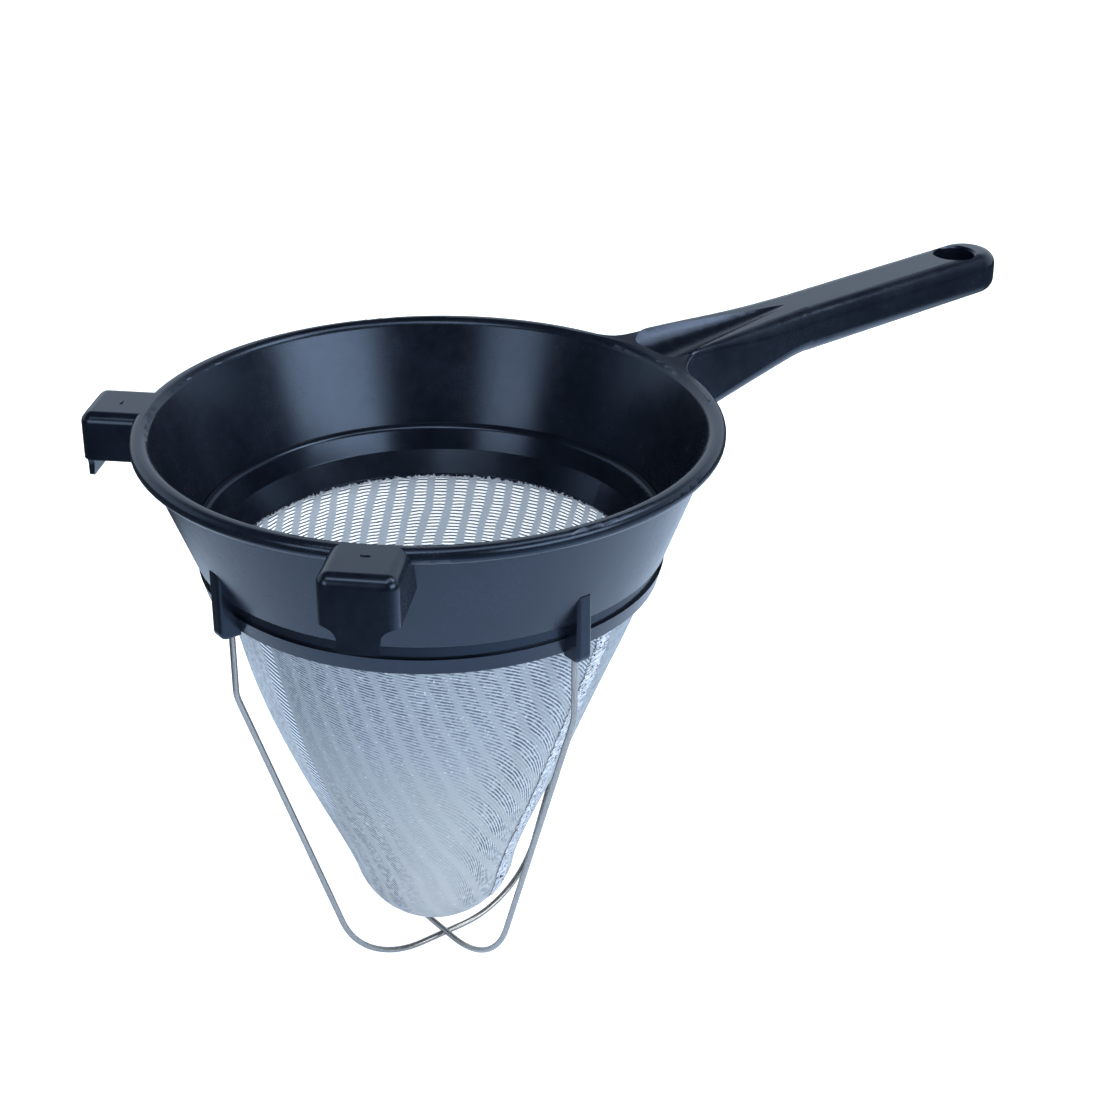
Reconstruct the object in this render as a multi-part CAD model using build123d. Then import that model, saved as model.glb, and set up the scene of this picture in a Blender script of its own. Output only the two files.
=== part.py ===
from build123d import *
import os
from math import cos, radians, sin, sqrt, tan

# Chinois strainer: a black one-piece moulded bowl with its handle, two pot hooks and four wire sockets,
# two crossed guard wires pressed into the sockets, and a drop-in sieve made of a moulded ring and a
# stainless mesh cone with a lapped seam. Millimetres. The origin is where the bowl axis meets the rim's
# top plane, +Z is up and the handle runs along +X.

os.makedirs("parts", exist_ok=True)

# Rim and bowl wall
RIM_R = 105.0
RIM_DEPTH = 5.8
RIM_OVERHANG = 4.7
RIM_ROUND = 2.6
RIM_INNER_ROUND = 3.5
LIP_FILLET = 1.2
WALL_ANGLE = 20.8
WALL_ACROSS = 3.3
WALL_DEPTH = 45.5
WALL_TOP_R = RIM_R - RIM_OVERHANG
WALL_FOOT_R = WALL_TOP_R - (WALL_DEPTH - RIM_DEPTH) * tan(radians(WALL_ANGLE))

# Recessed band and collar under the wall
BAND_INSET = 2.0
BAND_HEIGHT = 5.2
BAND_ROUND = 0.7
COLLAR_TOP_STEP = 1.1
COLLAR_FOOT_STEP = 0.7
COLLAR_HEIGHT = 6.5
COLLAR_ACROSS = 3.0
SHOULDER_DROP = 0.5
NECK_R = WALL_FOOT_R - BAND_INSET
BORE_R = NECK_R - COLLAR_ACROSS
SHOULDER_Z = -WALL_DEPTH - SHOULDER_DROP
NECK_FOOT_Z = -WALL_DEPTH - BAND_HEIGHT
COLLAR_FOOT_Z = NECK_FOOT_Z - COLLAR_HEIGHT

# Handle: its X places are measured outward from the rim
GRIP_HALF_WIDTH = 12.5
GRIP_END_X = 168.5
GRIP_START_X = 71.0
WAIST_HALF_WIDTH = 15.0
WAIST_X = 22.0
ROOT_HALF_WIDTH = 17.4
ROOT_START_X = -17.0
RIDGE_TOP_Z = 3.8
RIDGE_FOOT_Z = -1.5
RIDGE_RISE_FROM_X = -8.0
RIDGE_RISE_TO_X = 7.0
TOP_SLOPE_FROM_X = 45.0
GRIP_TOP_END_Z = 5.9
ROOT_UNDER_Z = -25.2
ROOT_UNDER_X = 3.0
UNDER_KNEE_X = 63.0
GRIP_UNDER_START_Z = -13.9
GRIP_UNDER_END_Z = -11.3
GRIP_CORNER_R = 5.8
RIDGE_CORNER_R = 2.0
ROOT_UNDER_CORNER_R = 4.0
CORNER_FROM_X = 3.0
CORNER_FULL_X = 60.0
ROOT_STATION_SHARES = (0, 0.09, 0.165, 0.205, 0.24, 0.275, 0.32, 0.4, 0.5, 0.625, 0.76, 0.885, 1)

# Lands that spread from the handle root into the rim
LAND_R = 18.0
LAND_RIM_INSET = 1.6
LAND_END_X = 11.0
LAND_TIP_HALF_WIDTH = 15.0
LAND_TOP_Z = 3.3
LAND_RISE_FROM_X = -10.0
LAND_RISE_TO_X = 7.0
LAND_UNDER_HALF_WIDTH = 11.0
LAND_UNDER_RISE = 5.0
LAND_CORNER_R = 1.6
LAND_STATION_SHARES = (0, 0.12, 0.24, 0.36, 0.48, 0.6, 0.7, 0.8, 0.9, 1)

# Hanging hole
HANG_HOLE_R = 8.5
HANG_HOLE_INSET = 7.0
HANG_HOLE_EASE = 0.8

# Scoop in the top of the handle root
SCOOP_FROM_X = -2.5
SCOOP_TO_X = 68.0
SCOOP_FLOOR_Z = -4.5
SCOOP_TIP_Z = 4.5
SCOOP_FROM_R = 20.0
SCOOP_TIP_R = 2.0
SCOOP_HALF_WIDTH = 15.0
SCOOP_END_ROUND = 8.0

# Pot hooks: their X places are measured outward from the rim
HOOK_ANGLES = (135.0, -135.0)
HOOK_REACH_X = 19.4
HOOK_INNER_X = -13.0
HOOK_HALF_WIDTH = 13.2
HOOK_DEPTH = 17.6
HOOK_ROUND = 4.0
HOOK_WALL = 3.0
HOOK_FRONT = 4.4
TONGUE_HALF_WIDTH = 6.8
TONGUE_LENGTH = 9.1
TONGUE_TIP_THICK = 1.8
SHOULDER_ROUND = 5.0
TONGUE_ROUND = 1.0

# Wire sockets: their X places are measured outward from the wire's axis
SOCKET_ANGLES = (0.0, 90.0, 180.0, 270.0)
SOCKET_FACE_X = 5.8
SOCKET_INNER_X = -2.2
SOCKET_HEIGHT = 25.7
SOCKET_FOOT_DROP = 2.0
SOCKET_HALF_WIDTH = 2.9
SOCKET_ROUND = 1.3
SOCKET_TOE_ROUND = 3.0
SOCKET_HOLE_DEPTH = 16.2
SOCKET_FOOT_Z = COLLAR_FOOT_Z - SOCKET_FOOT_DROP
SOCKET_TOP_Z = SOCKET_FOOT_Z + SOCKET_HEIGHT

# Sieve ring
SEAT_GAP = 0.3
RING_RISE = 8.3
RING_TOP_WIDTH = 3.3
RING_LIP_ROUND = 2.3
RING_STEP_WIDTH = 1.4
RING_STEP_DROP = 0.8
RING_MOUTH_WIDTH = 6.2
RING_MOUTH_RISE = 1.8
RING_FOOT_WIDTH = 5.4
RING_TOP_ROUND = 0.8
RING_STEP_ROUND = 2.2
RING_TOP_Z = SHOULDER_Z + RING_RISE
RING_FOOT_Z = COLLAR_FOOT_Z - SEAT_GAP

# Mesh cone, a soft bag that leans a little away from its seam. Each row of shares is the depth down the
# bag, then the radius and the lean, both as shares of its top radius.
MESH_THICK = 0.8
MESH_TOP_INSET = 1.2
MESH_GRIP = 4.0
MESH_DEPTH = 154.3
MESH_LEAN_ANGLE = 146.0
MESH_SECTION_SHARES = (
    (0, 1, 0),
    (0.198, 0.884, 0.01),
    (0.334, 0.792, 0.029),
    (0.463, 0.696, 0.034),
    (0.593, 0.59, 0.035),
    (0.729, 0.473, 0.034),
    (0.865, 0.38, 0.024),
)
MESH_TOP_R = BORE_R - MESH_TOP_INSET
MESH_TOP_Z = RING_FOOT_Z + MESH_GRIP
MESH_LOW_Z = MESH_TOP_Z - MESH_DEPTH

# Lapped seam on the outside of the mesh
SEAM_ANGLE = -74.5
SEAM_WIDTH = 6.0
SEAM_THICK = 0.6
SEAM_TOP_GAP = 1.0
SEAM_FOOT_RISE = 10.8

# Guard wires; where each foot corner lies, and how round it is, are shares of the leg's distance
WIRE_R = 1.15
WIRE_FIT = 0.05
WIRE_STANDOFF = 1.0
WIRE_STRAIGHT = 24.3
WIRE_BEND_R = 14.0
WIRE_CROSS_GAP = 0.05
GUARD_GAP = 15.3
LOWER_FOOT_SHARE = 0.441
UPPER_FOOT_SHARE = 0.405
CORNER_ROUND_SHARE = 0.451
WIRE_LEG_R = NECK_R + WIRE_STANDOFF
WIRE_TOP_Z = SOCKET_FOOT_Z + SOCKET_HOLE_DEPTH
WIRE_BEND_Z = SOCKET_FOOT_Z - WIRE_STRAIGHT
WIRE_LOW_Z = MESH_LOW_Z - GUARD_GAP


def wall_r(z):
    """Outer radius of the bowl wall at a height."""
    return WALL_TOP_R + (z + RIM_DEPTH) * tan(radians(WALL_ANGLE))


def inner_r(z):
    """Inner radius of the bowl wall at a height."""
    return wall_r(z) - WALL_ACROSS


def turned(outline):
    """Full turn about Z of a closed outline of (radius, height, corner round) points."""
    face = make_face(Plane.XZ * Polyline([(r, z) for r, z, _ in outline], close=True))
    for r, z, corner in outline:
        if corner:
            spot = Vector(r, 0, z)
            face = fillet(face.vertices().sort_by_distance(spot)[0], radius=corner)
    return revolve(face, axis=Axis.Z)


def bowl():
    """Rim, tapered wall, recessed band and collar with the seat for the sieve."""
    return turned([
        (inner_r(0), 0, RIM_INNER_ROUND),
        (RIM_R, 0, RIM_ROUND),
        (RIM_R, -RIM_DEPTH, RIM_ROUND),
        (WALL_TOP_R, -RIM_DEPTH, LIP_FILLET),
        (WALL_FOOT_R, -WALL_DEPTH, BAND_ROUND),
        (NECK_R, -WALL_DEPTH, BAND_ROUND),
        (NECK_R, NECK_FOOT_Z, 0),
        (NECK_R + COLLAR_TOP_STEP, NECK_FOOT_Z, 0),
        (NECK_R - COLLAR_FOOT_STEP, COLLAR_FOOT_Z, BAND_ROUND),
        (BORE_R, COLLAR_FOOT_Z, 0),
        (BORE_R, SHOULDER_Z, 0),
        (inner_r(SHOULDER_Z), SHOULDER_Z, 0),
    ])


def bowl_core():
    """Space inside the middle of the bowl wall, used to trim what is added outside."""
    shoulder_r = inner_r(SHOULDER_Z) + WALL_ACROSS / 2
    bore_r = (BORE_R + NECK_R) / 2
    return turned([
        (0, RIM_R, 0),
        (inner_r(RIM_R) + WALL_ACROSS / 2, RIM_R, 0),
        (shoulder_r, SHOULDER_Z, 0),
        (bore_r, SHOULDER_Z, 0),
        (bore_r, -RIM_R, 0),
        (0, -RIM_R, 0),
    ])


def share(x, start, stop):
    """Smooth share from 0 to 1 between two places."""
    part = min(max((x - start) / (stop - start), 0), 1)
    return part * part * (3 - 2 * part)


def between(x, start, stop, low, high):
    """Straight-line value between two places, held at its ends."""
    return low + (high - low) * min(max((x - start) / (stop - start), 0), 1)


def root_half_width(x):
    """Half width of the handle's body, tapering from the bowl to the grip."""
    if x < WAIST_X:
        return between(x, ROOT_START_X, WAIST_X, ROOT_HALF_WIDTH, WAIST_HALF_WIDTH)
    return between(x, WAIST_X, GRIP_START_X, WAIST_HALF_WIDTH, GRIP_HALF_WIDTH)


def land_half_width(x):
    """Half width of the lands: along the rim, then a concave arc that runs into the handle's side."""
    rim_r = RIM_R - LAND_RIM_INSET
    from_axis = RIM_R + x
    arc_y = LAND_TIP_HALF_WIDTH + LAND_R
    arc_x = sqrt((rim_r + LAND_R) ** 2 - arc_y ** 2)
    if from_axis < rim_r * arc_x / (rim_r + LAND_R):
        return sqrt(rim_r ** 2 - from_axis ** 2)
    return arc_y - sqrt(LAND_R ** 2 - (arc_x - from_axis) ** 2)


def handle_top(x):
    """Height of the handle's top face."""
    level = between(x, TOP_SLOPE_FROM_X, GRIP_END_X, RIDGE_TOP_Z, GRIP_TOP_END_Z)
    return RIDGE_FOOT_Z + (level - RIDGE_FOOT_Z) * share(x, RIDGE_RISE_FROM_X, RIDGE_RISE_TO_X)


def handle_under(x):
    """Height of the handle's underside."""
    if x > UNDER_KNEE_X:
        return between(x, UNDER_KNEE_X, GRIP_END_X, GRIP_UNDER_START_Z, GRIP_UNDER_END_Z)
    fall = (GRIP_UNDER_START_Z - ROOT_UNDER_Z) / (UNDER_KNEE_X - ROOT_UNDER_X)
    return GRIP_UNDER_START_Z - (UNDER_KNEE_X - x) * fall


def places(start, stop, shares):
    """Places along the handle at the given shares of a stretch."""
    return [start + (stop - start) * part for part in shares]


def rounded_section(x, top_half, under_half, top, under, top_corner, under_corner):
    """Cross-section at a place along the handle, with its corners rounded."""
    corners = [(-top_half, top), (top_half, top), (under_half, under), (-under_half, under)]
    face = make_face(Plane.YZ * Polyline(corners, close=True))
    face = fillet(face.vertices().group_by(Axis.Z)[-1], radius=top_corner)
    face = fillet(face.vertices().group_by(Axis.Z)[0], radius=under_corner)
    return Pos(X=x) * face


def handle_section(x):
    """Section of the handle's body, whose corners grow rounder towards the grip."""
    half = root_half_width(x)
    rounder = share(x, CORNER_FROM_X, CORNER_FULL_X)
    top_corner = RIDGE_CORNER_R + (GRIP_CORNER_R - RIDGE_CORNER_R) * rounder
    under_corner = ROOT_UNDER_CORNER_R + (GRIP_CORNER_R - ROOT_UNDER_CORNER_R) * rounder
    return rounded_section(x, half, half, handle_top(x), handle_under(x), top_corner, under_corner)


def land_section(x):
    """Section of the lands, which climb from the rim to the ridges."""
    half = land_half_width(x)
    top = LAND_TOP_Z * share(x, LAND_RISE_FROM_X, LAND_RISE_TO_X)
    under = handle_under(x) + LAND_UNDER_RISE
    return rounded_section(x, half, LAND_UNDER_HALF_WIDTH, top, under, LAND_CORNER_R, LAND_CORNER_R)


def scoop():
    """Tapered round tool, rounded off at the rim, that leaves a trough between two converging ridges."""
    wide = Plane((SCOOP_FROM_X, 0, SCOOP_FLOOR_Z + SCOOP_FROM_R), z_dir=(1, 0, 0)) * Circle(SCOOP_FROM_R)
    tip = Plane((SCOOP_TO_X, 0, SCOOP_TIP_Z + SCOOP_TIP_R), z_dir=(1, 0, 0)) * Circle(SCOOP_TIP_R)
    length = SCOOP_TO_X - SCOOP_FROM_X
    plan = Pos(X=SCOOP_FROM_X + length / 2) * Rectangle(length, 2 * SCOOP_HALF_WIDTH)
    plan = fillet(plan.vertices().group_by(Axis.X)[0], radius=SCOOP_END_ROUND)
    return loft([wide, tip]) & extrude(plan, SCOOP_FROM_R, both=True)


def handle():
    """Flared root that rises into a rounded grip, with the scoop and a hanging hole."""
    root = loft([handle_section(x) for x in places(ROOT_START_X, GRIP_START_X, ROOT_STATION_SHARES)])
    lands = loft([land_section(x) for x in places(ROOT_START_X, LAND_END_X, LAND_STATION_SHARES)])
    grip = loft([handle_section(GRIP_START_X), handle_section(GRIP_END_X)], ruled=True)
    half = split(handle_section(GRIP_END_X), bisect_by=Plane.XZ, keep=Keep.TOP)
    end = revolve(half, axis=Axis((GRIP_END_X, 0, 0), (0, 0, 1)), revolution_arc=180)
    hole_x = GRIP_END_X - HANG_HOLE_INSET
    top, under = handle_top(hole_x), handle_under(hole_x)
    hole = turned([
        (0, under - HANG_HOLE_EASE, 0),
        (HANG_HOLE_R + 2 * HANG_HOLE_EASE, under - HANG_HOLE_EASE, 0),
        (HANG_HOLE_R, under + HANG_HOLE_EASE, 0),
        (HANG_HOLE_R, top - HANG_HOLE_EASE, 0),
        (HANG_HOLE_R + 2 * HANG_HOLE_EASE, top + HANG_HOLE_EASE, 0),
        (0, top + HANG_HOLE_EASE, 0),
    ])
    return Pos(X=RIM_R) * (root + lands + grip + end - scoop() - Pos(X=hole_x) * hole)


def hook():
    """Pot hook: a rounded hood, open below, with a thinning tongue on its front wall."""
    length = HOOK_REACH_X - HOOK_INNER_X
    depth = HOOK_DEPTH + TONGUE_LENGTH
    hood = Pos(HOOK_INNER_X + length / 2, 0, -HOOK_DEPTH / 2) * Box(length, 2 * HOOK_HALF_WIDTH, HOOK_DEPTH)
    half_front = [
        (0, -HOOK_DEPTH / 2),
        (HOOK_HALF_WIDTH, -HOOK_DEPTH / 2),
        (HOOK_HALF_WIDTH, -HOOK_DEPTH),
        (TONGUE_HALF_WIDTH, -HOOK_DEPTH),
        (TONGUE_HALF_WIDTH, -depth),
        (0, -depth),
    ]
    face = make_face(Plane.YZ * Polyline(half_front, close=True))
    shoulder = face.vertices().sort_by_distance((0, TONGUE_HALF_WIDTH, -HOOK_DEPTH))[0]
    face = fillet(shoulder, radius=SHOULDER_ROUND)
    tongue_tip = face.vertices().sort_by_distance((0, TONGUE_HALF_WIDTH, -depth))[0]
    face = fillet(tongue_tip, radius=TONGUE_ROUND)
    face = face + mirror(face, about=Plane.XZ)
    solid = hood + Pos(X=HOOK_REACH_X) * extrude(face, HOOK_FRONT, dir=(-1, 0, 0))
    upright = solid.edges().filter_by(Axis.Z).group_by(Axis.X)[-1]
    outer = upright.filter_by(lambda e: e.length > HOOK_DEPTH / 2)
    upper = solid.edges().group_by(Axis.Z)[-1].filter_by(lambda e: e.center().X > HOOK_INNER_X)
    solid = fillet(outer + upper, radius=HOOK_ROUND)
    gap = HOOK_REACH_X - HOOK_FRONT - HOOK_INNER_X
    channel = Pos(HOOK_INNER_X + gap / 2, 0, -HOOK_WALL - HOOK_DEPTH / 2) * Box(
        gap, 2 * (HOOK_HALF_WIDTH - HOOK_WALL), HOOK_DEPTH)
    back = [
        (HOOK_REACH_X - HOOK_FRONT, -HOOK_WALL),
        (HOOK_REACH_X - TONGUE_TIP_THICK, -depth),
        (HOOK_REACH_X - HOOK_FRONT, -depth),
    ]
    taper = extrude(make_face(Plane.XZ * Polyline(back, close=True)), HOOK_HALF_WIDTH - HOOK_WALL, both=True)
    return Pos(X=RIM_R) * (solid - channel - taper)


def socket():
    """Fin on the bowl that holds one wire end in a blind hole open below."""
    outline = [
        (SOCKET_INNER_X, SOCKET_TOP_Z),
        (SOCKET_FACE_X, SOCKET_TOP_Z),
        (SOCKET_FACE_X, SOCKET_FOOT_Z),
        (SOCKET_INNER_X, SOCKET_FOOT_Z),
    ]
    face = make_face(Plane.XZ * Polyline(outline, close=True))
    toe = face.vertices().sort_by_distance((SOCKET_FACE_X, 0, SOCKET_FOOT_Z))[0]
    face = fillet(toe, radius=SOCKET_TOE_ROUND)
    solid = extrude(face, SOCKET_HALF_WIDTH, both=True)
    front = solid.edges().filter_by(Axis.Z).group_by(Axis.X)[-1]
    return Pos(X=WIRE_LEG_R) * fillet(front, radius=SOCKET_ROUND)


def wire_hole():
    """Blind hole for a wire end."""
    depth = SOCKET_HOLE_DEPTH + 2 * WIRE_R
    return Pos(WIRE_LEG_R, 0, WIRE_TOP_Z - depth / 2) * Cylinder(WIRE_R + WIRE_FIT, depth)


def frame_moulding():
    """The one-piece moulding: bowl, handle, hooks and sockets."""
    added = handle()
    for angle in HOOK_ANGLES:
        added = added + Rot(Z=angle) * hook()
    for angle in SOCKET_ANGLES:
        added = added + Rot(Z=angle) * socket()
    solid = bowl() + (added - bowl_core())
    for angle in SOCKET_ANGLES:
        solid = solid - Rot(Z=angle) * wire_hole()
    return solid


def guard_wire(low_z, foot_share, angle):
    """Round wire bent into a basket loop: two upright legs, two leaning runs and a level bottom."""
    half = [
        (WIRE_LEG_R, WIRE_TOP_Z),
        (WIRE_LEG_R, WIRE_BEND_Z),
        (foot_share * WIRE_LEG_R, low_z),
    ]
    path = Wire(Polyline(half + [(-x, z) for x, z in reversed(half)]))
    bends = path.vertices().filter_by(lambda v: abs(v.Y - WIRE_BEND_Z) < WIRE_R)
    path = path.fillet_2d(WIRE_BEND_R, bends)
    corners = path.vertices().filter_by(lambda v: abs(v.Y - low_z) < WIRE_R)
    path = Plane.XZ * path.fillet_2d(CORNER_ROUND_SHARE * WIRE_LEG_R, corners)
    start = path @ 0
    solid = sweep(Plane(start, z_dir=path % 0) * Circle(WIRE_R), path=path)
    return Rot(Z=angle) * solid


def sieve_ring():
    """Moulded ring that holds the mesh and drops onto the collar's shoulder."""
    top_r = inner_r(RING_TOP_Z) - SEAT_GAP
    shoulder_r = inner_r(SHOULDER_Z) - SEAT_GAP
    ring = turned([
        (top_r - RING_TOP_WIDTH, RING_TOP_Z, RING_LIP_ROUND),
        (top_r, RING_TOP_Z, RING_TOP_ROUND),
        (shoulder_r, SHOULDER_Z, 0),
        (BORE_R - SEAT_GAP, SHOULDER_Z, 0),
        (BORE_R - SEAT_GAP, RING_FOOT_Z, RING_TOP_ROUND),
        (BORE_R - RING_FOOT_WIDTH, RING_FOOT_Z, 0),
        (BORE_R - RING_MOUTH_WIDTH, RING_FOOT_Z + RING_MOUTH_RISE, RING_TOP_ROUND),
        (BORE_R - RING_STEP_WIDTH, SHOULDER_Z - RING_STEP_DROP, RING_STEP_ROUND),
    ])
    return ring - mesh_cone()


def mesh_bag(inset):
    """The filled shape of the mesh, set in from its outside, with a round tip below the last section."""
    rows = [(MESH_TOP_Z - MESH_DEPTH * deep, MESH_TOP_R * wide, MESH_TOP_R * away)
            for deep, wide, away in MESH_SECTION_SHARES]

    def centre(away, z):
        return (away * cos(radians(MESH_LEAN_ANGLE)), away * sin(radians(MESH_LEAN_ANGLE)), z)

    side = loft([Plane(centre(away, z)) * Circle(r - inset) for z, r, away in rows])
    last_z, last_r, last_away = rows[-1]
    depth = last_z - MESH_LOW_Z - inset
    tip_r = ((last_r - inset) ** 2 + depth ** 2) / (2 * depth)
    tip = Pos(centre(last_away, MESH_LOW_Z + inset + tip_r)) * Sphere(tip_r)
    below = Pos(Z=last_z - tip_r) * Box(4 * tip_r, 4 * tip_r, 2 * tip_r)
    return side + (tip & below)


def mesh_cone():
    """Stainless mesh body of the sieve, its top edge inside the ring."""
    return mesh_bag(0) - mesh_bag(MESH_THICK)


def mesh_seam():
    """Lapped strip down the outside of the mesh."""
    top, foot = RING_FOOT_Z - SEAM_TOP_GAP, MESH_LOW_Z + SEAM_FOOT_RISE
    strip = Pos(RIM_R / 2, 0, (top + foot) / 2) * Box(RIM_R, SEAM_WIDTH, top - foot)
    return (mesh_bag(-SEAM_THICK) - mesh_bag(0)) & (Rot(Z=SEAM_ANGLE) * strip)


high_z = WIRE_LOW_Z + 2 * WIRE_R + WIRE_CROSS_GAP
nodes = {
    "frame_moulding": frame_moulding(),
    "guard_wire_lower": guard_wire(WIRE_LOW_Z, LOWER_FOOT_SHARE, 0),
    "guard_wire_upper": guard_wire(high_z, UPPER_FOOT_SHARE, 90),
    "sieve_ring": sieve_ring(),
    "mesh_cone": mesh_cone(),
    "mesh_seam": mesh_seam(),
}
for name, solid in nodes.items():
    export_step(solid, f"parts/{name}.step")
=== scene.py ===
import math
import bpy
from mathutils import Matrix, Vector


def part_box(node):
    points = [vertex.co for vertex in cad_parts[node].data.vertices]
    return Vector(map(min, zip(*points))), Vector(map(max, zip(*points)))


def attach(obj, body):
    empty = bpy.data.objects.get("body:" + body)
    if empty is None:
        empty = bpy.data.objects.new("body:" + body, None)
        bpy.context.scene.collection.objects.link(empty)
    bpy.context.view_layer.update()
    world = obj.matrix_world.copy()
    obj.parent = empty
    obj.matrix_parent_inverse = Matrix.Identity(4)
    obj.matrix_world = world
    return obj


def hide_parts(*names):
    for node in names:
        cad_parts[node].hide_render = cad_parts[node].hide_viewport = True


# Looks of a chinois strainer: a black moulded frame with its handle and pot hooks, satin guard wires, and a
# drop-in sieve of a moulded ring and a woven steel bag with a lapped seam. Metres. The bowl axis is Z, the
# rim's top plane is z = 0 and the handle runs along +X.

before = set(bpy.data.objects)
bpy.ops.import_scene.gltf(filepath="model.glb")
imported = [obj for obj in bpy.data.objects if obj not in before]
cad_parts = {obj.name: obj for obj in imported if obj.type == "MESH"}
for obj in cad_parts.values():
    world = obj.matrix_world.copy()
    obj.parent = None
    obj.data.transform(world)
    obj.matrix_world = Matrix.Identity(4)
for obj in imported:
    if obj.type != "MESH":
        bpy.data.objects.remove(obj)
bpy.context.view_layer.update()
bpy.ops.object.select_all(action="DESELECT")

# Edges with less of a bend than this are shaded smooth
SMOOTH_BELOW = math.radians(40.0)
CLOTH_SMOOTH_BELOW = math.radians(50.0)

# Outside of the woven bag, as it is in the solids: height, radius and lean away from the seam
BAG_ROWS = (
    (-0.0535, 0.0790, 0.0000),
    (-0.0840, 0.0698, 0.0008),
    (-0.1050, 0.0626, 0.0023),
    (-0.1250, 0.0550, 0.0027),
    (-0.1450, 0.0466, 0.0028),
    (-0.1660, 0.0374, 0.0027),
    (-0.1870, 0.0300, 0.0019),
)
BAG_LEAN_ANGLE = math.radians(146.0)

# Lapped strip down the bag; its ragged parts lie further from its middle than a share of its width
SEAM_ANGLE = math.radians(-74.5)
SEAM_TURN = math.radians(5.0)
SEAM_WIDTH = 0.0074
SEAM_TOP_Z = -0.0590
SEAM_FOOT_Z = -0.1960
SEAM_START_PROUD = 0.002
SEAM_COLUMNS = 9
SEAM_ROWS = 300
SEAM_RAGGED_SHARE = 0.36
SEAM_RAGGED_BY = 0.0010
SEAM_LIFT = 0.0002
SEAM_THICK = 0.0002

# Cut edge of the cloth, from under the ring's foot to its mouth, a little clear of the ring
RING_FOOT_R = 0.0748
RING_FOOT_Z = -0.0575
RING_MOUTH_R = 0.0740
RING_MOUTH_Z = -0.0557
EDGE_START_R = 0.0771
EDGE_START_Z = -0.0588
EDGE_FOOT_IN = 0.0002
EDGE_FOOT_DOWN = 0.0001
EDGE_MOUTH_IN = 0.0001
EDGE_MOUTH_DOWN = 0.0005
EDGE_POINTS = 900
EDGE_RAGGED_BY = 0.0007
EDGE_THICK = 0.0001

# Gate marks: how far past the rim's edge each one lies, and their length, width and height
RIM_R = 0.105
HOOK_ANGLES = (math.radians(135.0), math.radians(-135.0))
GATE_PLACES = (0.0072, 0.0038)
GATE_SIZE = (0.0011, 0.0034, 0.0007)
GATE_POINTS = 24
GATE_EASE = 0.0001

# Weave: the sine of the cone's half angle unrolls the bag, and a side turn is the angle from the front,
# positive towards the seam; past the seam it goes on from the far end of the other side
CONE_SHARE = 0.347
FRONT_TURN = math.radians(130.5)
STROKE_TOP_Z = -0.057
STRIPE_PITCH = 0.0083
STRIPE_WAY = math.radians(27.0)
STRIPE_PLAIN_SHARE = 0.1
STRIPE_SOFT_SHARE = 0.35
STRIPE_DRIFT = 3.0
INSIDE_PITCH = 0.0074
INSIDE_WAY = math.radians(-34.6)
INSIDE_PLAIN_SHARE = 0.22

# Turns of the strokes' wave, in radians: for the height in metres, its square, the side turn, its square
# towards the seam, and height and side together; then the share of all that, and how unevenly it runs.
# The rows inside and the teeth of the far fold are waves of the same kind.
STROKE_HEIGHT = 5600.0
STROKE_HEIGHT_SQUARE = 11000.0
STROKE_SIDE = 85.0
STROKE_RIGHT_SQUARE = 142.0
STROKE_TWIST = -1000.0
STROKE_SHARE = 0.86
STROKE_WAVER = 3.4
ROW_HEIGHT = 5200.0
ROW_WAVER = 1.2
TOOTH_HEIGHT = 2900.0
TOOTH_SIDE = 60.0

# Where the outside's strokes stand out, as ranges of height and of side turn, and how much
CLOTH_DEPTHS = (-0.058, -0.200)
NEAR_TOP_HEIGHTS = (-0.125, -0.062)
NEAR_SEAM_TURNS = (0.10, 0.50)
LEFT_TURNS = (-0.20, -0.60)
LOW_HEIGHTS = (-0.110, -0.145)
PAST_SEAM_TURNS = (-4.5, -4.8)
PLAIN_CLARITY = 0.15
CLEAR_GAIN = 0.85
CLOUD_SHARE = 0.30
MARK_STRENGTH = 0.90
# Painted glow of the inside, for light seen through its holes
INSIDE_GLOW = 0.50

# Far fold at the left, where the cloth turns away and a pale painted sheen lies: its turn from the front,
# how far past that it starts and ends, its height range, and where the toothed line along it fades out
FOLD_TURN = math.radians(51.0)
FOLD_START = (0.0, 0.02)
FOLD_END = (0.60, 0.85)
FOLD_HEIGHTS = (-0.155, -0.125)
FOLD_WAVER = 0.06
TOOTH_LINE = (0.032, 0.056)

# Colours of the cloth
CLOTH_TOP = (0.232, 0.280, 0.332, 1)
CLOTH_TIP = (0.43, 0.447, 0.455, 1)
CLOTH_CLOUD = (0.46, 0.50, 0.53, 1)
CLOTH_BAND = (0.10, 0.14, 0.20, 1)
# Painted highlight on the weave's raised wires
CLOTH_RAISED_HIGHLIGHT = (0.82, 0.88, 0.95, 1)
CLOTH_MARK = (0.040, 0.06, 0.10, 1)
CLOTH_GLINT = (0.86, 0.92, 1.0, 1)
# Painted sheen where the cloth turns away at the far fold
CLOTH_FOLD_SHEEN = (0.80, 0.86, 0.94, 1)
TOOTH_PALE = (0.80, 0.90, 1.0, 1)
TOOTH_DARK = (0.02, 0.03, 0.05, 1)
# Painted light seen through the inside's holes, and painted shade on its wires
DASH_PAINTED_LIGHT = (0.98, 1.0, 1.0, 1)
DASH_PAINTED_SHADE = (0.06, 0.09, 0.14, 1)
INSIDE_PLAIN = (0.29, 0.34, 0.40, 1)
LAP_PALE = (0.66, 0.70, 0.76, 1)
LAP_DARK = (0.22, 0.26, 0.33, 1)
LAP_ROW_PITCH = 0.0016

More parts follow.
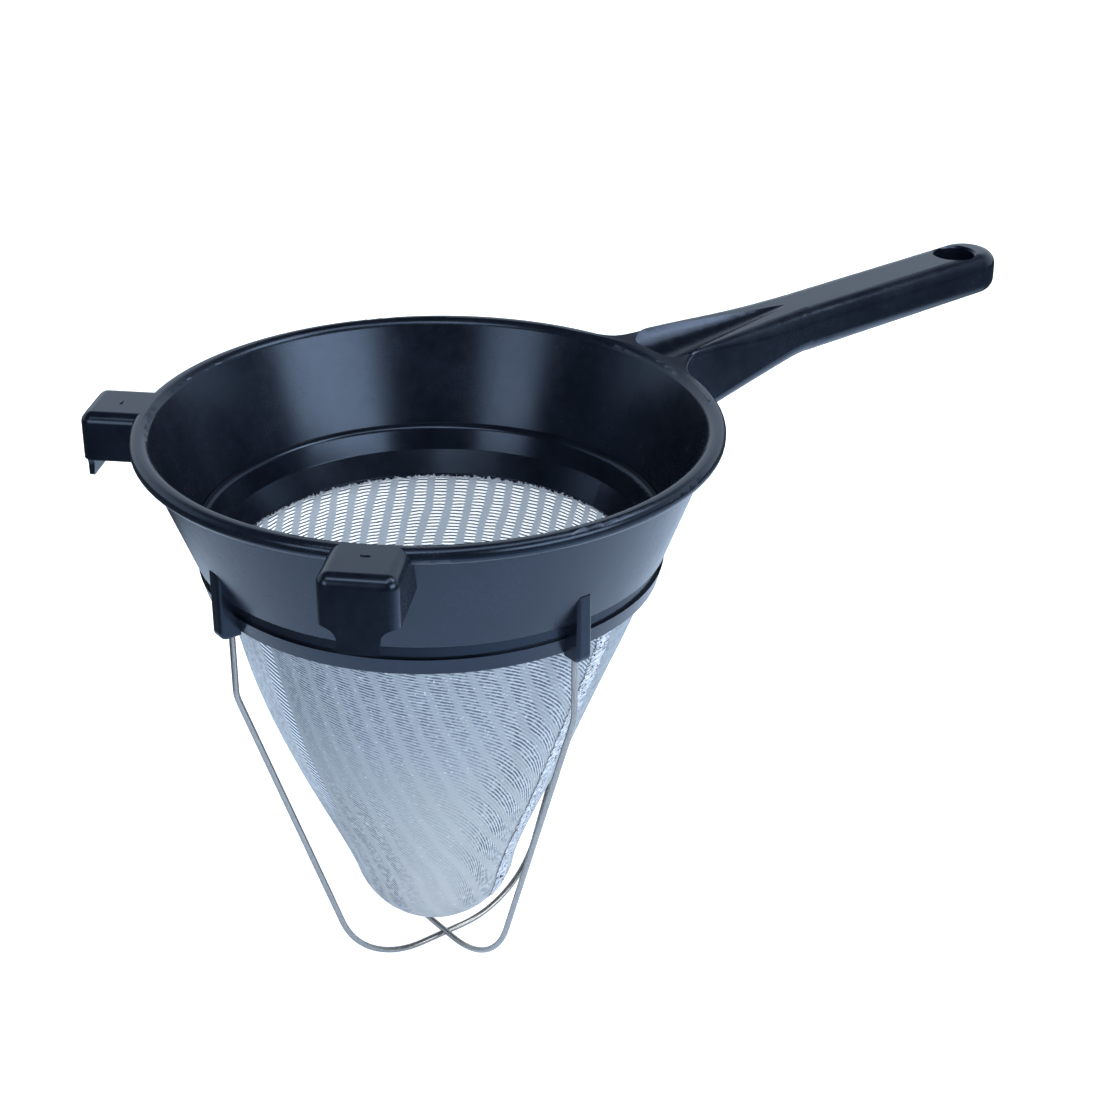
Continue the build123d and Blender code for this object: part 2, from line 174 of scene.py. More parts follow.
# Colours and roughness of the moulding, and colours of the wires
FRAME_DEEP = (0.0022, 0.0032, 0.0065, 1)
FRAME_PALE = (0.0050, 0.0072, 0.0135, 1)
RING_DEEP = (0.0020, 0.0030, 0.0060, 1)
RING_PALE = (0.0045, 0.0065, 0.0120, 1)
FRAME_GLOSS = 0.20
FRAME_DULL = 0.30
RING_GLOSS = 0.17
RING_DULL = 0.25
RING_DRAFT = 0.11
MOULDING_IOR = 1.5
MOULDING_TINT = (0.50, 0.68, 1.0, 1)
SPECK = (0.35, 0.38, 0.42, 1)
WIRE_DARK = (0.17, 0.165, 0.16, 1)
WIRE_PALE = (0.44, 0.42, 0.40, 1)

# Depths of the materials' bumps
GRAIN_DEPTH = 0.00006
STREAK_DEPTH = 0.00004
STROKE_DEPTH = 0.00010
LAP_DEPTH = 0.00015

# Plain colours
BLACK = (0, 0, 0, 1)
WHITE = (1, 1, 1, 1)

# Camera: it starts above and in front of the rim's middle, and then turns a little off it
CAMERA_DISTANCE = 0.7805
CAMERA_RISE = math.radians(23.172)
CAMERA_AROUND = math.radians(34.0)
CAMERA_YAW = math.radians(-3.063)
CAMERA_PITCH = math.radians(-3.502)
CAMERA_ROLL = math.radians(1.33)
CAMERA_LENS = 72
CAMERA_SENSOR = 36
CAMERA_CLIP_START = 0.01

# Lamps: name, azimuth and rise in degrees, distance, width, height and how bright the face is
LAMPS = (
    ("softbox_right", -78.3, 16.0, 1.45, 1.10, 0.60, 5.2),
    ("softbox_left", -164.0, 16.0, 1.45, 0.60, 0.60, 3.3),
    ("softbox_top", -78.0, 71.0, 1.20, 1.30, 0.42, 2.8),
    ("softbox_hook", -150.0, 54.0, 1.20, 0.55, 0.24, 4.5),
    ("softbox_scoop", -38.0, 50.0, 1.20, 0.50, 0.34, 6.0),
)
LAMP_COLOUR = (0.94, 0.97, 1.0)
LAMP_AIM = Vector((0, 0, -0.05))
LAMP_POWER = 4.0

# Room: a pale sweep stands behind the strainer and fades with height
SWEEP_AZIMUTH = math.radians(56.0)
SWEEP_EDGE = (-0.25, 0.25)
SWEEP_HEIGHTS = (0.75, 0.45)
ROOM_GLOSS = 0.03
ROOM_LIGHT = 0.45
ROOM_TINT = (0.74, 0.87, 1.0, 1)

# Floor: gloss sees it bright near a point beside the bag and dark beyond
FLOOR_R = 6.0
FLOOR_POINTS = 96
FLOOR_BRIGHT_X = 0.08
FLOOR_BRIGHT_Y = -0.08
FLOOR_BRIGHT_REACH = (0.36, 0.46)
FLOOR_DEEP = (0.86, 0.86, 0.86, 1)
FLOOR_PALE = (0.90, 0.90, 0.90, 1)
FLOOR_GLOSS = (0.60, 0.70, 0.82, 1)
FLOOR_FAR = (0.08, 0.10, 0.12, 1)
FLOOR_GLOW_TINT = (0.50, 0.61, 0.78, 1)
FLOOR_GLOW = 0.78


# Small helpers for node trees


def node(tree, kind, inputs=None, **settings):
    """Adds a node, sets its options, and fills or links its sockets."""
    made = tree.nodes.new(kind)
    for name, value in settings.items():
        setattr(made, name, value)
    fill_sockets(tree, made, inputs or {})
    return made


def fill_sockets(tree, made, inputs):
    """Links a node's inputs to sockets, or gives them plain values."""
    for key, value in inputs.items():
        if isinstance(value, bpy.types.NodeSocket):
            tree.links.new(value, made.inputs[key])
        else:
            made.inputs[key].default_value = value


def calc(tree, operation, *values):
    """One arithmetic step; returns its output socket."""
    return node(tree, "ShaderNodeMath", dict(enumerate(values)), operation=operation).outputs[0]


def product(tree, first, *others):
    """All the values multiplied together."""
    for other in others:
        first = calc(tree, "MULTIPLY", first, other)
    return first


def scaled(tree, value, gain, start):
    """A value times its gain, plus a start."""
    return calc(tree, "MULTIPLY_ADD", value, gain, start)


def wave(tree, turn):
    """Sine of a turn, brought from 0 to 1."""
    return scaled(tree, calc(tree, "SINE", turn), 0.5, 0.5)


def remap(tree, value, low, high, to_low=0.0, to_high=1.0):
    """Soft step of a value from one range into another."""
    made = node(tree, "ShaderNodeMapRange", {
        "Value": value, "From Min": low, "From Max": high, "To Min": to_low, "To Max": to_high,
    }, interpolation_type="SMOOTHSTEP")
    return made.outputs["Result"]


def blend_colours(tree, share, first, second):
    """Colour between two, by a share."""
    made = node(tree, "ShaderNodeMix", {"Factor": share, "A": first, "B": second}, data_type="RGBA")
    return made.outputs[2]


def noise(tree, place, scale, detail=2.0, roughness=0.5):
    """Cloudy value from 0 to 1."""
    made = node(tree, "ShaderNodeTexNoise", {
        "Vector": place, "Scale": scale, "Detail": detail, "Roughness": roughness,
    })
    return made.outputs["Fac"]


def vector_step(tree, operation, first, second):
    """One step with two vectors; returns the node's outputs."""
    return node(tree, "ShaderNodeVectorMath", {0: first, 1: second}, operation=operation).outputs


def xyz(tree, vector):
    """The three parts of a vector, by name."""
    return node(tree, "ShaderNodeSeparateXYZ", {"Vector": vector}).outputs


def group_tree(name, inputs, outputs):
    """New shader group with named sockets; returns it with its input and output nodes."""
    tree = bpy.data.node_groups.new(name, "ShaderNodeTree")
    for label, kind, value in inputs:
        socket = tree.interface.new_socket(label, in_out="INPUT", socket_type=kind)
        if value is not None:
            socket.default_value = value
    for label, kind in outputs:
        tree.interface.new_socket(label, in_out="OUTPUT", socket_type=kind)
    return tree, tree.nodes.new("NodeGroupInput").outputs, tree.nodes.new("NodeGroupOutput").inputs


def use_group(tree, group, inputs):
    """Places a group in a material with its own values."""
    made = tree.nodes.new("ShaderNodeGroup")
    made.node_tree = group
    fill_sockets(tree, made, inputs)
    return made.outputs


def blank_material(name):
    """Material with one shader; returns the material, its tree, the shader and the object coordinates."""
    material = bpy.data.materials.new(name)
    material.use_nodes = True
    tree = material.node_tree
    shader = tree.nodes["Principled BSDF"]
    place = tree.nodes.new("ShaderNodeTexCoord").outputs["Object"]
    return material, tree, shader, place


def bumped(tree, shader, height, strength, distance):
    """Feeds a height into the shader's normal; returns the bump node."""
    bump = node(tree, "ShaderNodeBump", {"Height": height, "Strength": strength, "Distance": distance})
    tree.links.new(bump.outputs["Normal"], shader.inputs["Normal"])
    return bump


# Shared effects


def moulding_grain():
    """Mottled tone, uneven gloss, fine grain and a few dust specks of a glass-filled moulding."""
    tree, given, made = group_tree("moulding_grain", (
        ("Place", "NodeSocketVector", None),
        ("Deep", "NodeSocketColor", FRAME_DEEP),
        ("Pale", "NodeSocketColor", FRAME_PALE),
        ("Gloss", "NodeSocketFloat", FRAME_GLOSS),
        ("Dull", "NodeSocketFloat", FRAME_DULL),
    ), (("Color", "NodeSocketColor"), ("Roughness", "NodeSocketFloat"), ("Height", "NodeSocketFloat")))
    place = given["Place"]
    clouds = noise(tree, place, 38.0, 5.0, 0.62)
    flow = noise(tree, place, 260.0, 3.0, 0.6)
    fine = noise(tree, place, 1700.0, 2.0, 0.5)
    tone = remap(tree, scaled(tree, flow, 0.45, clouds), 0.45, 1.0)
    specks = node(tree, "ShaderNodeTexVoronoi", {"Vector": place, "Scale": 95.0}, feature="F1").outputs
    draw = node(tree, "ShaderNodeSeparateColor", {"Color": specks["Color"]}).outputs[0]
    rare = calc(tree, "GREATER_THAN", draw, 0.93)
    speck = product(tree, rare, remap(tree, specks["Distance"], 0.012, 0.028, 1.0, 0.0), 0.35)
    base = blend_colours(tree, tone, given["Deep"], given["Pale"])
    tree.links.new(blend_colours(tree, speck, base, SPECK), made["Color"])
    span = calc(tree, "SUBTRACT", given["Dull"], given["Gloss"])
    uneven = scaled(tree, fine, 0.35, product(tree, tone, 0.65))
    tree.links.new(scaled(tree, uneven, span, given["Gloss"]), made["Roughness"])
    tree.links.new(scaled(tree, flow, 0.6, fine), made["Height"])
    return tree


def weave_stripes(tree, given, axes, around, clouds):
    """Stripes that run straight in the unrolled sheet, a little adrift."""
    squares = calc(tree, "ADD", product(tree, axes["X"], axes["X"]), product(tree, axes["Y"], axes["Y"]))
    slant = calc(tree, "DIVIDE", calc(tree, "SQRT", squares), CONE_SHARE)
    off_way = calc(tree, "SUBTRACT", product(tree, around, CONE_SHARE), given["Stripe Way"])
    across = product(tree, slant, calc(tree, "SINE", off_way))
    drift = product(tree, calc(tree, "SUBTRACT", clouds, 0.5), STRIPE_DRIFT)
    turn = calc(tree, "DIVIDE", product(tree, across, math.tau), given["Stripe Pitch"])
    full = calc(tree, "ADD", given["Plain Share"], STRIPE_SOFT_SHARE)
    return remap(tree, wave(tree, calc(tree, "ADD", drift, turn)), given["Plain Share"], full)


def weave_strokes(tree, place, height, side, waver):
    """Short slanting strokes that steepen towards the seam."""
    right = calc(tree, "MAXIMUM", side, 0.0)
    upright = scaled(tree, height, STROKE_HEIGHT, product(tree, height, height, STROKE_HEIGHT_SQUARE))
    level = scaled(tree, side, STROKE_SIDE, product(tree, right, right, STROKE_RIGHT_SQUARE))
    lines = scaled(tree, product(tree, height, side), STROKE_TWIST, calc(tree, "ADD", upright, level))
    lines = scaled(tree, lines, STROKE_SHARE, waver)
    strength = remap(tree, noise(tree, place, 520.0, 1.0), 0.34, 0.60, 0.10, 1.0)
    return product(tree, strength, remap(tree, calc(tree, "SINE", lines), -0.6, 0.7))


def weave():
    """Woven steel: fine slanting strokes, gathered into stripes that run straight in the unrolled sheet."""
    tree, given, made = group_tree("weave", (
        ("Place", "NodeSocketVector", None),
        ("Stripe Pitch", "NodeSocketFloat", STRIPE_PITCH),
        ("Stripe Way", "NodeSocketFloat", STRIPE_WAY),
        ("Plain Share", "NodeSocketFloat", STRIPE_PLAIN_SHARE),
    ), (("Strokes", "NodeSocketFloat"), ("Stripes", "NodeSocketFloat"), ("Side", "NodeSocketFloat"),
        ("Clouds", "NodeSocketFloat"), ("Sparks", "NodeSocketFloat"), ("Rows", "NodeSocketFloat")))
    place = given["Place"]
    clouds = noise(tree, place, 55.0, 3.0, 0.55)
    ripple = noise(tree, place, 210.0, 2.0, 0.5)
    waver = product(tree, calc(tree, "SUBTRACT", ripple, 0.5), STROKE_WAVER)
    turned = node(tree, "ShaderNodeMapping", {
        "Vector": place, "Rotation": (0.0, 0.0, math.pi - SEAM_ANGLE)}, vector_type="POINT").outputs[0]
    axes = xyz(tree, turned)
    around = calc(tree, "ARCTAN2", axes["Y"], axes["X"])
    side = calc(tree, "SUBTRACT", around, FRONT_TURN)
    height = calc(tree, "SUBTRACT", axes["Z"], STROKE_TOP_Z)
    level_rows = calc(tree, "ADD", product(tree, height, ROW_HEIGHT), product(tree, waver, ROW_WAVER))
    tree.links.new(weave_strokes(tree, place, height, side, waver), made["Strokes"])
    tree.links.new(weave_stripes(tree, given, axes, around, clouds), made["Stripes"])
    tree.links.new(side, made["Side"])
    tree.links.new(clouds, made["Clouds"])
    tree.links.new(remap(tree, noise(tree, place, 900.0, 1.0, 0.4), 0.66, 0.76), made["Sparks"])
    tree.links.new(wave(tree, level_rows), made["Rows"])
    return tree


# Materials


def moulded_black(grain, name, deep, pale, gloss, dull, draft=0.0):
    """Near-black composite with a blue cast; a draft tips its gloss a few degrees upwards."""
    material, tree, shader, place = blank_material(name)
    out = use_group(tree, grain, {"Place": place, "Deep": deep, "Pale": pale, "Gloss": gloss, "Dull": dull})
    tree.links.new(out["Color"], shader.inputs["Base Color"])
    tree.links.new(out["Roughness"], shader.inputs["Roughness"])
    shader.inputs["IOR"].default_value = MOULDING_IOR
    shader.inputs["Specular Tint"].default_value = MOULDING_TINT
    bump = bumped(tree, shader, out["Height"], 0.10, GRAIN_DEPTH)
    if draft:
        facing = node(tree, "ShaderNodeNewGeometry").outputs["Normal"]
        tipped = vector_step(tree, "ADD", facing, (0.0, 0.0, draft))[0]
        tipped = node(tree, "ShaderNodeVectorMath", {0: tipped}, operation="NORMALIZE").outputs[0]
        tree.links.new(tipped, bump.inputs["Normal"])
    return material


def satin_wire():
    """Drawn stainless wire with faint lengthwise streaks."""
    material, tree, shader, place = blank_material("satin_wire")
    squeezed = node(tree, "ShaderNodeMapping", {"Vector": place, "Scale": (1.0, 1.0, 0.08)}).outputs[0]
    streaks = noise(tree, squeezed, 2600.0, 3.0, 0.6)
    clouds = noise(tree, place, 130.0, 3.0, 0.6)
    tree.links.new(blend_colours(tree, streaks, WIRE_DARK, WIRE_PALE), shader.inputs["Base Color"])
    tree.links.new(remap(tree, clouds, 0.3, 0.7, 0.20, 0.32), shader.inputs["Roughness"])
    shader.inputs["Metallic"].default_value = 1.0
    bumped(tree, shader, streaks, 0.12, STREAK_DEPTH)
    return material


def facing_inwards(tree, place):
    """One where the surface faces the bag's axis, and nought where it faces away."""
    facing = node(tree, "ShaderNodeNewGeometry").outputs["True Normal"]
    level = vector_step(tree, "MULTIPLY", place, (1.0, 1.0, 0.0))[0]
    return calc(tree, "LESS_THAN", vector_step(tree, "DOT_PRODUCT", facing, level)["Value"], 0.0)


def striped_cloth(tree, height, out):
    """Blue-grey cloth whose strokes are clear near the ring, near the seam and at the low left, with a
    painted highlight on its raised wires and painted glints.
    """
    plain = blend_colours(tree, remap(tree, height, *CLOTH_DEPTHS), CLOTH_TOP, CLOTH_TIP)
    plain = blend_colours(tree, product(tree, out["Clouds"], CLOUD_SHARE), plain, CLOTH_CLOUD)
    near_top = remap(tree, height, *NEAR_TOP_HEIGHTS)
    near_seam = remap(tree, out["Side"], *NEAR_SEAM_TURNS)
    low_left = product(tree, remap(tree, out["Side"], *LEFT_TURNS), remap(tree, height, *LOW_HEIGHTS))
    clear = calc(tree, "MAXIMUM", calc(tree, "MAXIMUM", near_top, near_seam), low_left)
    clear = calc(tree, "MAXIMUM", clear, remap(tree, out["Side"], *PAST_SEAM_TURNS))
    clear = scaled(tree, clear, CLEAR_GAIN, PLAIN_CLARITY)
    striped = scaled(tree, out["Stripes"], 0.85, 0.15)
    marks = product(tree, clear, product(tree, out["Strokes"], striped), scaled(tree, near_seam, 0.2, 1.0))
    marks = product(tree, calc(tree, "MINIMUM", marks, 1.0), MARK_STRENGTH)
    band = product(tree, out["Stripes"], scaled(tree, near_top, 0.24, 0.09))
    # Painted highlight on the raised wires, between the dark strokes
    raised = product(tree, clear, remap(tree, out["Strokes"], 0.06, 0.0), scaled(
        tree, near_seam, 0.15, 0.30), scaled(tree, out["Stripes"], 0.75, 0.25))
    glint = product(tree, out["Sparks"], scaled(tree, clear, 0.25, 0.2))
    outer = blend_colours(tree, band, plain, CLOTH_BAND)
    outer = blend_colours(tree, raised, outer, CLOTH_RAISED_HIGHLIGHT)
    outer = blend_colours(tree, marks, outer, CLOTH_MARK)
    return blend_colours(tree, glint, outer, CLOTH_GLINT)


def with_far_fold(tree, outer, height, out):
    """Painted sheen: a pale strip at the left, where the cloth turns away, with a toothed line along its
    edge.
    """
    fold = calc(tree, "SUBTRACT", product(tree, out["Side"], -1.0), FOLD_TURN)
    fold = scaled(tree, calc(tree, "SUBTRACT", out["Clouds"], 0.5), FOLD_WAVER, fold)
    past_seam = remap(tree, out["Side"], *PAST_SEAM_TURNS)
    upper = product(tree, remap(tree, height, *FOLD_HEIGHTS), calc(tree, "SUBTRACT", 1.0, past_seam), remap(
        tree, fold, *FOLD_END, 1.0, 0.0))
    # Painted sheen: the pale strip where the cloth turns away
    strip = product(tree, remap(tree, fold, *FOLD_START), upper, scaled(tree, out["Strokes"], -0.5, 0.55))
    line = product(tree, upper, remap(tree, calc(tree, "ABSOLUTE", fold), *TOOTH_LINE, 1.0, 0.0))
    tooth_rows = scaled(tree, height, TOOTH_HEIGHT, product(tree, out["Side"], TOOTH_SIDE))
    tooth = remap(tree, calc(tree, "SINE", tooth_rows), -0.2, 0.3)
    outer = blend_colours(tree, strip, outer, CLOTH_FOLD_SHEEN)
    return blend_colours(tree, line, outer, blend_colours(tree, tooth, TOOTH_PALE, TOOTH_DARK))


def woven_steel(weave_group):
    """The bag: blue-grey steel cloth outside; inside, painted light through its holes and painted shade on
    its wires as dashes between plain bands, all with a painted glow.
    """
    material, tree, shader, place = blank_material("woven_steel")
    out = use_group(tree, weave_group, {"Place": place})
    back = use_group(tree, weave_group, {
        "Place": place, "Stripe Pitch": INSIDE_PITCH, "Stripe Way": INSIDE_WAY,
        "Plain Share": INSIDE_PLAIN_SHARE})
    height = xyz(tree, place)["Z"]
    inside = facing_inwards(tree, place)
    outer = with_far_fold(tree, striped_cloth(tree, height, out), height, out)
    # Painted light through the holes and painted shade on the wires, in rows
    light_and_shade_dashes = blend_colours(tree, remap(tree, out["Rows"], 0.45, 0.72), DASH_PAINTED_LIGHT, DASH_PAINTED_SHADE)
    inner = blend_colours(tree, back["Stripes"], INSIDE_PLAIN, light_and_shade_dashes)
    tree.links.new(blend_colours(tree, inside, outer, inner), shader.inputs["Base Color"])
    # Painted glow of the inside, for light seen through its holes
    glow = blend_colours(tree, product(tree, inside, INSIDE_GLOW), BLACK, inner)
    tree.links.new(glow, shader.inputs["Emission Color"])
    shader.inputs["Emission Strength"].default_value = 1.0
    tree.links.new(remap(tree, out["Clouds"], 0.3, 0.7, 0.42, 0.58), shader.inputs["Roughness"])
    shader.inputs["Metallic"].default_value = 0.35
    bumped(tree, shader, out["Strokes"], 0.35, STROKE_DEPTH)
    return material


def lapped_steel():
    """Double cloth at the seam: pale and frayed looking, with cross strokes."""
    material, tree, shader, place = blank_material("lapped_steel")
    height = xyz(tree, place)["Z"]
    waver = noise(tree, place, 420.0, 2.0)
    stroke = wave(tree, scaled(tree, waver, 5.0, product(tree, height, math.tau / LAP_ROW_PITCH)))
    patch = remap(tree, noise(tree, place, 500.0, 2.0), 0.34, 0.60)
    tone = blend_colours(tree, product(tree, stroke, patch), LAP_PALE, LAP_DARK)
    tree.links.new(tone, shader.inputs["Base Color"])
    tree.links.new(remap(tree, patch, 0.0, 1.0, 0.30, 0.52), shader.inputs["Roughness"])
    shader.inputs["Metallic"].default_value = 0.45
    bumped(tree, shader, stroke, 0.4, LAP_DEPTH)
    return material


def dress(node_name, material):
    """Gives a solid of the frame its finish."""
    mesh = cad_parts[node_name].data
    mesh.materials.clear()
    mesh.materials.append(material)


# Pieces


def level_direction(angle):
    """Level unit vector at an angle round the bowl axis."""
    return Vector((math.cos(angle), math.sin(angle), 0.0))


def bag_surface(angle, z, proud):
    """Point on the bag's outside at an angle and height, moved out by a little."""
    for (z1, r1, away1), (z0, r0, away0) in zip(BAG_ROWS, BAG_ROWS[1:]):
        if z >= z0:
            part = (z - z0) / (z1 - z0)
            break
    else:
        part = 0.0
    r = r0 + (r1 - r0) * part + proud
    away = away0 + (away1 - away0) * part
    return Vector((r * math.cos(angle) + away * math.cos(BAG_LEAN_ANGLE),
                   r * math.sin(angle) + away * math.sin(BAG_LEAN_ANGLE), z))


def finish_mesh(piece, smooth_below=SMOOTH_BELOW):
    """Puts the piece's place into its mesh and smooths its shading."""
    bpy.ops.object.select_all(action="DESELECT")
    piece.select_set(True)
    bpy.context.view_layer.objects.active = piece
    bpy.ops.object.transform_apply(location=True, rotation=True, scale=True)
    bpy.ops.object.shade_smooth_by_angle(angle=smooth_below)
    piece.select_set(False)


def apply_modifier(piece, kind, name, **settings):
    """Adds a modifier with its settings and applies it."""
    modifier = piece.modifiers.new(name, kind)
    for key, value in settings.items():
        setattr(modifier, key, value)
    bpy.context.view_layer.objects.active = piece
    bpy.ops.object.modifier_apply(modifier=name)


def lap_strip(material):
    """Lapped cloth down the bag with ragged edges, laid on the bag's outside."""
    bpy.ops.mesh.primitive_grid_add(x_subdivisions=SEAM_COLUMNS, y_subdivisions=SEAM_ROWS, size=1.0)
    piece = bpy.context.object
    piece.name = "lap_strip"
    top = bag_surface(SEAM_ANGLE, SEAM_TOP_Z, SEAM_START_PROUD)
    foot = bag_surface(SEAM_ANGLE + SEAM_TURN, SEAM_FOOT_Z, SEAM_START_PROUD)
    middle = (top + foot) / 2
    along = (top - foot).normalized()
    across = along.cross(level_direction(SEAM_ANGLE)).normalized()
    turn = Matrix((across, along, across.cross(along))).transposed().to_4x4()
    size = Matrix.Diagonal((SEAM_WIDTH, (top - foot).length, 1.0, 1.0))
    piece.matrix_world = Matrix.Translation(middle) @ turn @ size
    finish_mesh(piece)
    for vertex in piece.data.vertices:
        vertex.select = abs((vertex.co - middle).dot(across)) > SEAM_WIDTH * SEAM_RAGGED_SHARE
    bpy.context.view_layer.objects.active = piece
    bpy.ops.object.mode_set(mode="EDIT")
    bpy.ops.mesh.select_mode(type="VERT")
    bpy.ops.transform.vertex_random(offset=SEAM_RAGGED_BY, uniform=1.0, seed=4)
    bpy.ops.object.mode_set(mode="OBJECT")
    apply_modifier(piece, "SHRINKWRAP", "lay", target=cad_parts["mesh_cone"], offset=SEAM_LIFT)
    apply_modifier(piece, "SOLIDIFY", "cloth", thickness=SEAM_THICK, offset=1.0)
    finish_mesh(piece, CLOTH_SMOOTH_BELOW)
    piece.data.materials.append(material)
    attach(piece, "sieve")
    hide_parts("mesh_seam")


def cloth_edge(material):
    """Cut edge of the cloth where it goes into the ring, ragged along its top."""
    bpy.ops.mesh.primitive_circle_add(
        vertices=EDGE_POINTS, radius=EDGE_START_R, location=(0, 0, EDGE_START_Z))
    piece = bpy.context.object
    piece.name = "cloth_edge"
    bpy.ops.object.mode_set(mode="EDIT")
    bpy.ops.mesh.select_all(action="SELECT")
    foot = (RING_FOOT_R - EDGE_FOOT_IN, RING_FOOT_Z - EDGE_FOOT_DOWN)
    mouth = (RING_MOUTH_R - EDGE_MOUTH_IN, RING_MOUTH_Z - EDGE_MOUTH_DOWN)
    for radius, z in (foot, mouth):
        bpy.ops.mesh.extrude_edges_move()
        piece.update_from_editmode()
        chosen = [vertex.co for vertex in piece.data.vertices if vertex.select]
        was = sum(math.hypot(spot.x, spot.y) for spot in chosen) / len(chosen)
        height = sum(spot.z for spot in chosen) / len(chosen) + EDGE_START_Z
        bpy.ops.transform.resize(value=(radius / was, radius / was, 1.0), center_override=(0, 0, 0))
        bpy.ops.transform.translate(value=(0, 0, z - height))
    bpy.ops.transform.vertex_random(offset=EDGE_RAGGED_BY, uniform=1.0, seed=7)
    bpy.ops.object.mode_set(mode="OBJECT")
    apply_modifier(piece, "SOLIDIFY", "cloth", thickness=EDGE_THICK, offset=0.0)
    finish_mesh(piece, CLOTH_SMOOTH_BELOW)
    piece.data.materials.append(material)
    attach(piece, "sieve")


def gate_marks(material):
    """Small raised gate marks on top of the two pot hooks."""
    for number, (angle, past_rim) in enumerate(zip(HOOK_ANGLES, GATE_PLACES), 1):
        bpy.ops.mesh.primitive_cylinder_add(vertices=GATE_POINTS, radius=0.5, depth=1.0)
        piece = bpy.context.object
        piece.name = f"gate_mark_{number}"
        spot = level_direction(angle) * (RIM_R + past_rim)
        turn = Matrix.Rotation(angle, 4, "Z")
        piece.matrix_world = Matrix.Translation(spot) @ turn @ Matrix.Diagonal((*GATE_SIZE, 1.0))
        finish_mesh(piece)
        apply_modifier(piece, "BEVEL", "ease", width=GATE_EASE, segments=2, limit_method="ANGLE")
        finish_mesh(piece)
        piece.data.materials.append(material)
        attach(piece, "frame")


# Studio


def photo_camera():
    """Camera at the photograph's viewing angle, a little above and in front of the near hook."""
    place = Vector((0, -math.cos(CAMERA_RISE), math.sin(CAMERA_RISE))) * CAMERA_DISTANCE
    ahead = -place.normalized()
    right = Vector((1, 0, 0))
    up = right.cross(ahead)
    step = Matrix.Rotation(CAMERA_YAW, 3, up)
    ahead, right = step @ ahead, step @ right
    step = Matrix.Rotation(CAMERA_PITCH, 3, right)
    ahead, up = step @ ahead, step @ up
    step = Matrix.Rotation(CAMERA_ROLL, 3, ahead)
    right, up = step @ right, step @ up
    whole = Matrix.Rotation(-CAMERA_AROUND, 3, "Z")
    matrix = Matrix((whole @ right, whole @ up, -(whole @ ahead))).transposed().to_4x4()
    matrix.translation = whole @ place
    data = bpy.data.cameras.new("photo_camera")
    data.lens = CAMERA_LENS
    data.sensor_width = CAMERA_SENSOR
    data.clip_start = CAMERA_CLIP_START
    camera = bpy.data.objects.new("photo_camera", data)
    camera.matrix_world = matrix
    bpy.context.scene.collection.objects.link(camera)
    bpy.context.scene.camera = camera


def softbox(name, azimuth, rise, distance, width, height, radiance):
    """Rectangular studio lamp that looks at the bowl, set by how bright its face is."""
    azimuth, rise = math.radians(azimuth), math.radians(rise)
    data = bpy.data.lights.new(name, "AREA")
    data.shape = "RECTANGLE"
    data.size, data.size_y = width, height
    data.energy = LAMP_POWER * width * height * radiance
    data.color = LAMP_COLOUR
    lamp = bpy.data.objects.new(name, data)
    direction = level_direction(azimuth) * math.cos(rise) + Vector((0.0, 0.0, math.sin(rise)))
    lamp.location = direction * distance + LAMP_AIM
    lamp.rotation_euler = direction.to_track_quat("Z", "Y").to_euler()
    lamp.visible_camera = False
    bpy.context.scene.collection.objects.link(lamp)


def straight_rays(tree, ray):
    """One for what the camera sees, straight or through something clear."""
    return calc(tree, "MAXIMUM", ray["Is Camera Ray"], ray["Is Transmission Ray"])


def white_world():
    """White for the camera; metal and gloss see a pale sweep behind and a dark room in front and above."""
    world = bpy.data.worlds.new("studio")
    bpy.context.scene.world = world
    world.use_nodes = True
    tree = world.node_tree
    back = tree.nodes["Background"]
    ray = node(tree, "ShaderNodeLightPath").outputs
    way = node(tree, "ShaderNodeTexCoord").outputs["Generated"]
    behind = vector_step(tree, "DOT_PRODUCT", way, level_direction(SWEEP_AZIMUTH))["Value"]
    sweep = product(tree, remap(tree, behind, *SWEEP_EDGE), remap(tree, xyz(tree, way)["Z"], *SWEEP_HEIGHTS))
    gloss = product(tree, ray["Is Glossy Ray"], calc(tree, "ADD", sweep, ROOM_GLOSS))
    light = product(tree, calc(tree, "SUBTRACT", 1.0, ray["Is Glossy Ray"]), ROOM_LIGHT)
    straight = straight_rays(tree, ray)
    level = calc(tree, "MAXIMUM", calc(tree, "ADD", gloss, light), straight)
    tree.links.new(level, back.inputs["Strength"])
    tree.links.new(blend_colours(tree, straight, ROOM_TINT, WHITE), back.inputs["Color"])


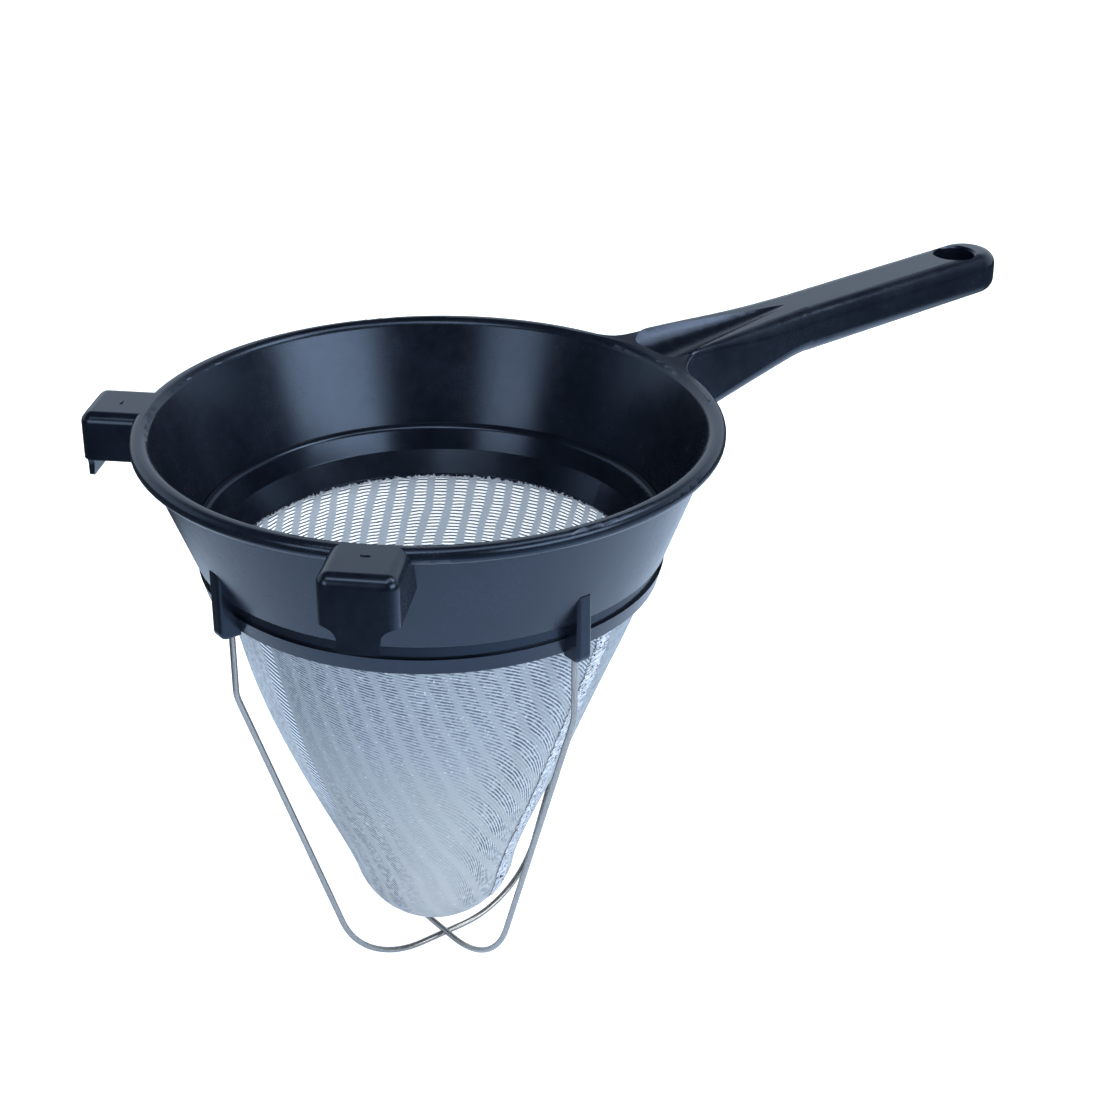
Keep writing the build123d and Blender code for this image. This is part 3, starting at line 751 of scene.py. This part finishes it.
def pale_floor():
    """Plain white floor under the guard wires that keeps a soft shadow."""
    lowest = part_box("guard_wire_lower")[0].z
    bpy.ops.mesh.primitive_circle_add(
        vertices=FLOOR_POINTS, radius=FLOOR_R, fill_type="NGON", location=(0, 0, lowest))
    floor = bpy.context.object
    floor.name = "floor"
    finish_mesh(floor)
    material, tree, shader, place = blank_material("floor_white")
    ray = node(tree, "ShaderNodeLightPath").outputs
    straight = straight_rays(tree, ray)
    away = vector_step(tree, "DISTANCE", place, (FLOOR_BRIGHT_X, FLOOR_BRIGHT_Y, lowest))["Value"]
    far = remap(tree, away, *FLOOR_BRIGHT_REACH)
    white = blend_colours(tree, noise(tree, place, 6.0, 2.0), FLOOR_DEEP, FLOOR_PALE)
    white = blend_colours(tree, ray["Is Glossy Ray"], white, FLOOR_GLOSS)
    white = blend_colours(tree, product(tree, ray["Is Glossy Ray"], far), white, FLOOR_FAR)
    tree.links.new(white, shader.inputs["Base Color"])
    shader.inputs["Roughness"].default_value = 0.9
    shader.inputs["Specular IOR Level"].default_value = 0.0
    near = product(tree, ray["Is Glossy Ray"], calc(tree, "SUBTRACT", 1.0, far))
    glow = product(tree, calc(tree, "MAXIMUM", straight, near), FLOOR_GLOW)
    tree.links.new(glow, shader.inputs["Emission Strength"])
    tree.links.new(blend_colours(tree, straight, FLOOR_GLOW_TINT, WHITE), shader.inputs["Emission Color"])
    floor.data.materials.append(material)


photo_camera()
bpy.context.scene.view_settings.view_transform = "Standard"
white_world()
pale_floor()
for lamp in LAMPS:
    softbox(*lamp)

grain = moulding_grain()
black = moulded_black(grain, "moulded_black", FRAME_DEEP, FRAME_PALE, FRAME_GLOSS, FRAME_DULL)
ring_black = moulded_black(grain, "ring_black", RING_DEEP, RING_PALE, RING_GLOSS, RING_DULL, RING_DRAFT)
cloth = woven_steel(weave())
lap = lapped_steel()
wire = satin_wire()
dress("frame_moulding", black)
dress("sieve_ring", ring_black)
dress("guard_wire_lower", wire)
dress("guard_wire_upper", wire)
dress("mesh_cone", cloth)
dress("mesh_seam", lap)

lap_strip(lap)
cloth_edge(lap)
gate_marks(black)
